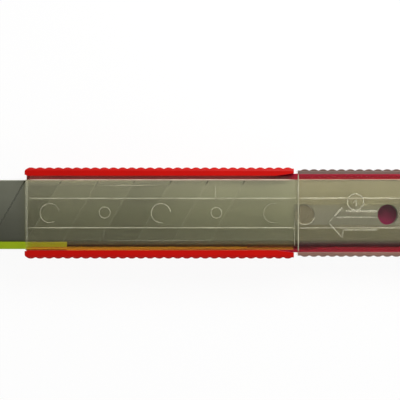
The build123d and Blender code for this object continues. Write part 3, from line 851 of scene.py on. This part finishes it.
# The two ends, width, height and fade of each line of the insert's outline, and of one at the cover's rear.
MOULD_LINES = (
    ((-26.3, 7.53), (-12.0, 7.53), 0.26, 0.02, 0.3),
    ((-26.3, -7.5), (4.1, -7.5), 0.07, 0.02, 0.12),
    ((-26.3, -3.2), (-26.3, -7.5), 0.1, 0.02, 0.12),
    ((4.1, 7.5), (4.1, 3.2), 0.18, 0.02, 0.12),
    ((25.62, -1.8), (25.62, -9.0), 0.14, LINE_HEIGHT, 0.05),
)
cover_front, neck_rear = (c[0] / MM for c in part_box("window_cover"))
highlight_start = cover_front + FRONT_INSET
marks(
    "cover_rib_highlights",
    [
        bead(straight((highlight_start, y), (COVER_REAR, y), COVER_RIB), width, LINE_HEIGHT, SQUARE)
        for y, width in ((RIB_Y, RIB_SPINE_SIDE_WIDTH), (-RIB_Y, RIB_EDGE_SIDE_WIDTH))
    ],
    edge_highlight,
    "lid",
)
long_edge_height = COVER_FACE - LONG_EDGE_HEIGHT
long_edge = straight((highlight_start, LONG_EDGE_Y), (COVER_REAR, LONG_EDGE_Y), long_edge_height)
neck_edge = straight((COVER_REAR, NECK_EDGE_Y), (neck_rear, NECK_EDGE_Y), NECK_FACE)
marks(
    "cover_spine_edge_highlight",
    [
        bead(long_edge, LONG_EDGE_WIDTH, LONG_EDGE_HEIGHT, SQUARE),
        bead(neck_edge, NECK_EDGE_WIDTH, LINE_HEIGHT, SQUARE),
    ],
    spine_edge,
    "lid",
)
marks(
    "cover_mould_marks",
    [
        bead(arc(centre, radius, start, end, COVER_FACE), width, LINE_HEIGHT, fade)
        for centre, radius, start, end, width, fade in PUSHER_RINGS
    ]
    + [
        bead(straight(start, end, COVER_FACE), width, height, fade)
        for start, end, width, height, fade in MOULD_LINES
    ],
    mould_line,
    "lid",
)

# Drive pin and push sleeve. The sleeve is a clear ridged box that slides on the tray's neck. The pin is fixed
# under its roof and stands in the hole of the top blade.

# The same polystyrene with a rosier smoke and less haze. The tops of its ridged side walls are worn brown,
# painted darker on the spine side as painted shade.
WORN_FROM = 10.62 * MM
rose_polystyrene = clear_polystyrene(
    "smoky_rose_clear_polystyrene",
    "#F7F4EE",
    "#E7DFCB",
    60.0,
    haze=(0.007, 0.009, 0.0),
    rub=0.0,
    worn_beyond=WORN_FROM,
)
dress(rose_polystyrene, "push_sleeve")

PIN_RADIUS = 2.6 * MM
PIN_EDGE = 0.12 * MM
ROOF_SEAM = 0.02 * MM


def turned_pin(centre, radius, low, high, edge):
    """A round pin: a profile of radius against height, with quarter-round edges, turned about an upright
    axis. Gives rings of points, one for each point of the profile."""
    a = np.linspace(0, 2 * np.pi, 64, endpoint=False)
    q = np.linspace(0, np.pi / 2, 6)
    out = radius - edge + edge * np.concatenate([np.sin(q), np.cos(q)])[:, None]
    up = np.concatenate([low + edge - edge * np.cos(q), high - edge + edge * np.sin(q)])[:, None]
    return np.stack(
        [centre[0] + out * np.cos(a), centre[1] + out * np.sin(a), np.broadcast_to(up, (len(up), len(a)))], -1
    )


pin_low, pin_high = (np.array(c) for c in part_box("drive_pin"))
pin_centre = (pin_low + pin_high)[:2] / 2
pin_rings = turned_pin(pin_centre, PIN_RADIUS, pin_low[2], pin_high[2] - ROOF_SEAM, PIN_EDGE)
pin = add_piece(
    "sleeve_drive_pin",
    pin_rings.reshape(-1, 3),
    skin_faces(*pin_rings.shape[:2], looped=False),
    rose_polystyrene,
    "slider",
)
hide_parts("drive_pin")

# Marks on the sleeve. A plain moulded arrow shows which way the blade comes out, a plain ring carries the
# figure 1, and an arc along the pin's lower edge is a painted highlight. The rib crests and the mouth's edge
# carry painted highlights.

SLEEVE_FACE, SLEEVE_RIB = 12.15, 12.35
MOUTH_INSET, RIB_REAR_GAP = 0.12, 3
SLEEVE_RIB_SPINE_SIDE_WIDTH, SLEEVE_RIB_EDGE_SIDE_WIDTH = 0.19, 0.11
MOUTH_HALF_LENGTH, MOUTH_SINK = 10.6, 0.02
MOUTH_WIDTH, MOUTH_HEIGHT, MOUTH_FADE = 0.3, 0.05, 0.02
RAISED_HEIGHT = 0.04
# The two ends, width, height and fade of each line: the head, then the shaft, then the figure.
ARROW_AND_FIGURE = (
    ((38.6, 1.56), (36.4, -0.95), 0.5, RAISED_HEIGHT, 0.08),
    ((36.4, -0.95), (34.9, -2.6), 0.3, LINE_HEIGHT, 0.4),
    ((34.9, -2.6), (38.5, -6.7), 0.34, LINE_HEIGHT, 0.2),
    ((38.5, -6.7), (38.9, -4.6), 0.24, LINE_HEIGHT, 0.05),
    ((39.4, 0.5), (48.2, 0.5), 0.56, RAISED_HEIGHT, 0.04),
    ((36.8, -1.15), (48.2, -1.15), 0.3, RAISED_HEIGHT, 0.04),
    ((38.9, -4.6), (48.2, -4.6), 0.34, RAISED_HEIGHT, 0.04),
    ((42.4, 1.5), (42.4, 3.6), 0.4, RAISED_HEIGHT, 0.12),
    ((42.4, 3.55), (41.5, 2.75), 0.3, RAISED_HEIGHT, 0.12),
)
FIGURE_CENTRE, FIGURE_RING, FIGURE_RING_WIDTH = (42.2, 3.0), 2.2, 0.33
PIN_ARC, PIN_ARC_START, PIN_ARC_END, PIN_ARC_WIDTH, PIN_ARC_FADE = 2.75, -120, -10, 0.24, 0.12
sleeve_front, sleeve_rear = (c[0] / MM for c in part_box("push_sleeve"))
mouth, rib_end = sleeve_front + MOUTH_INSET, sleeve_rear - RIB_REAR_GAP
mouth_line = straight((mouth, -MOUTH_HALF_LENGTH), (mouth, MOUTH_HALF_LENGTH), SLEEVE_FACE - MOUTH_SINK)
marks(
    "sleeve_rib_and_mouth_highlights",
    [
        bead(straight((mouth, y), (rib_end, y), SLEEVE_RIB), width, LINE_HEIGHT, SQUARE)
        for y, width in ((RIB_Y, SLEEVE_RIB_SPINE_SIDE_WIDTH), (-RIB_Y, SLEEVE_RIB_EDGE_SIDE_WIDTH))
    ]
    + [bead(mouth_line, MOUTH_WIDTH, MOUTH_HEIGHT, MOUTH_FADE)],
    edge_highlight,
    "slider",
)
figure_ring = arc(FIGURE_CENTRE, FIGURE_RING, 0, 360, SLEEVE_FACE)
# The pin arc is a painted highlight along the pin's lower edge.
pin_arc = arc(pin_centre / MM, PIN_ARC, PIN_ARC_START, PIN_ARC_END, SLEEVE_FACE)
marks(
    "sleeve_arrow_figure_and_pin_highlight",
    [
        bead(straight(start, end, SLEEVE_FACE), width, height, fade)
        for start, end, width, height, fade in ARROW_AND_FIGURE
    ]
    + [
        bead(figure_ring, FIGURE_RING_WIDTH, RAISED_HEIGHT, None),
        bead(pin_arc, PIN_ARC_WIDTH, LINE_HEIGHT, PIN_ARC_FADE),
    ],
    raised_line,
    "slider",
)

# Stage: a plain pale floor under the knife, a soft dome of light, a softbox above the spine side of the rear
# end, and a camera looking straight down with a long lens. Sizes here are in metres.

# Matt white paper that keeps a faint shadow. To rays that see it, most of it glows evenly.
FLOOR_REACH, FLOOR_DROP = 1.5, 0.05 * MM
PAPER_WHITE, PAPER_GLOW = 0.9, 0.93
white_paper = new_material("matt_white_paper")
t = white_paper.node_tree
path = node(t, "ShaderNodeLightPath").outputs
seen = path["Is Camera Ray"]
for ray in ("Is Glossy Ray", "Is Transmission Ray"):
    seen = node(t, "ShaderNodeMath", links={0: seen, 1: path[ray]}, operation="MAXIMUM").outputs[0]
share = node(t, "ShaderNodeMath", {1: PAPER_GLOW}, {0: seen}, operation="MULTIPLY").outputs[0]
matt = node(t, "ShaderNodeBsdfDiffuse", {"Color": (PAPER_WHITE, PAPER_WHITE, PAPER_WHITE, 1.0)}).outputs[0]
glow = node(t, "ShaderNodeEmission", {"Color": (1.0, 1.0, 1.0, 1.0), "Strength": 1.0}).outputs[0]
skin = node(t, "ShaderNodeMixShader", links={0: share, 1: matt, 2: glow}).outputs[0]
node(t, "ShaderNodeOutputMaterial", links={"Surface": skin})
corners = np.array([(-1, -1), (1, -1), (1, 1), (-1, 1)]) * FLOOR_REACH
floor_mesh = bpy.data.meshes.new("floor")
floor_mesh.from_pydata(np.column_stack([corners, np.full(4, -FLOOR_DROP)]).tolist(), [], [(0, 1, 2, 3)])
floor_mesh.materials.append(white_paper)
floor = bpy.data.objects.new("floor", floor_mesh)
bpy.context.scene.collection.objects.link(floor)

# The dome is bright near the horizon and dim overhead, and brighter on the spine side.
DIM_FROM, DIM_FULL = 0.55, 0.97
HORIZON, OVERHEAD = 0.95, 0.08
EDGE_SIDE_LIGHT, SPINE_SIDE_LIGHT = 0.8, 1.2
WARM_WHITE = (1.0, 0.99, 0.96, 1.0)
world = bpy.data.worlds.new("studio")
bpy.context.scene.world = world
world.use_nodes = True
t = world.node_tree
t.nodes.clear()
aim = node(t, "ShaderNodeTexCoord").outputs["Generated"]
axes = node(t, "ShaderNodeSeparateXYZ", links={"Vector": aim}).outputs
height = node(
    t,
    "ShaderNodeMapRange",
    {"From Min": DIM_FROM, "From Max": DIM_FULL, "To Min": HORIZON, "To Max": OVERHEAD},
    {"Value": axes["Z"]},
    interpolation_type="SMOOTHSTEP",
).outputs[0]
spine_side = node(
    t,
    "ShaderNodeMapRange",
    {"From Min": -1.0, "To Min": EDGE_SIDE_LIGHT, "To Max": SPINE_SIDE_LIGHT},
    {"Value": axes["Y"]},
).outputs[0]
sky = node(t, "ShaderNodeMath", links={0: height, 1: spine_side}, operation="MULTIPLY").outputs[0]
dome = node(t, "ShaderNodeBackground", {"Color": WARM_WHITE}, {"Strength": sky}).outputs[0]
node(t, "ShaderNodeOutputWorld", links={"Surface": dome})

SOFTBOX_LENGTH, SOFTBOX_WIDTH, SOFTBOX_WATTS = 0.14, 0.09, 0.3
SOFTBOX_PLACE, SOFTBOX_TILT = (0.08, 0.11, 0.15), (-0.64, 0.45, 0.0)
softbox = bpy.data.lights.new("softbox", "AREA")
softbox.shape = "RECTANGLE"
softbox.size, softbox.size_y = SOFTBOX_LENGTH, SOFTBOX_WIDTH
softbox.energy = SOFTBOX_WATTS
lamp = bpy.data.objects.new("softbox", softbox)
lamp.location = SOFTBOX_PLACE
lamp.rotation_euler = SOFTBOX_TILT
bpy.context.scene.collection.objects.link(lamp)

FRAME_WIDTH = 109.2 * MM
FRAME_X, FRAME_Y, FRAME_Z = -0.15 * MM, 3.55 * MM, 10.5 * MM
LENS_MM, SENSOR_MM = 200.0, 36.0
camera = bpy.data.cameras.new("camera")
camera.lens, camera.sensor_width = LENS_MM, SENSOR_MM
view = bpy.data.objects.new("camera", camera)
view.location = (FRAME_X, FRAME_Y, FRAME_Z + FRAME_WIDTH * LENS_MM / SENSOR_MM)
bpy.context.scene.collection.objects.link(view)
bpy.context.scene.camera = view
bpy.context.scene.view_settings.view_transform = "Standard"
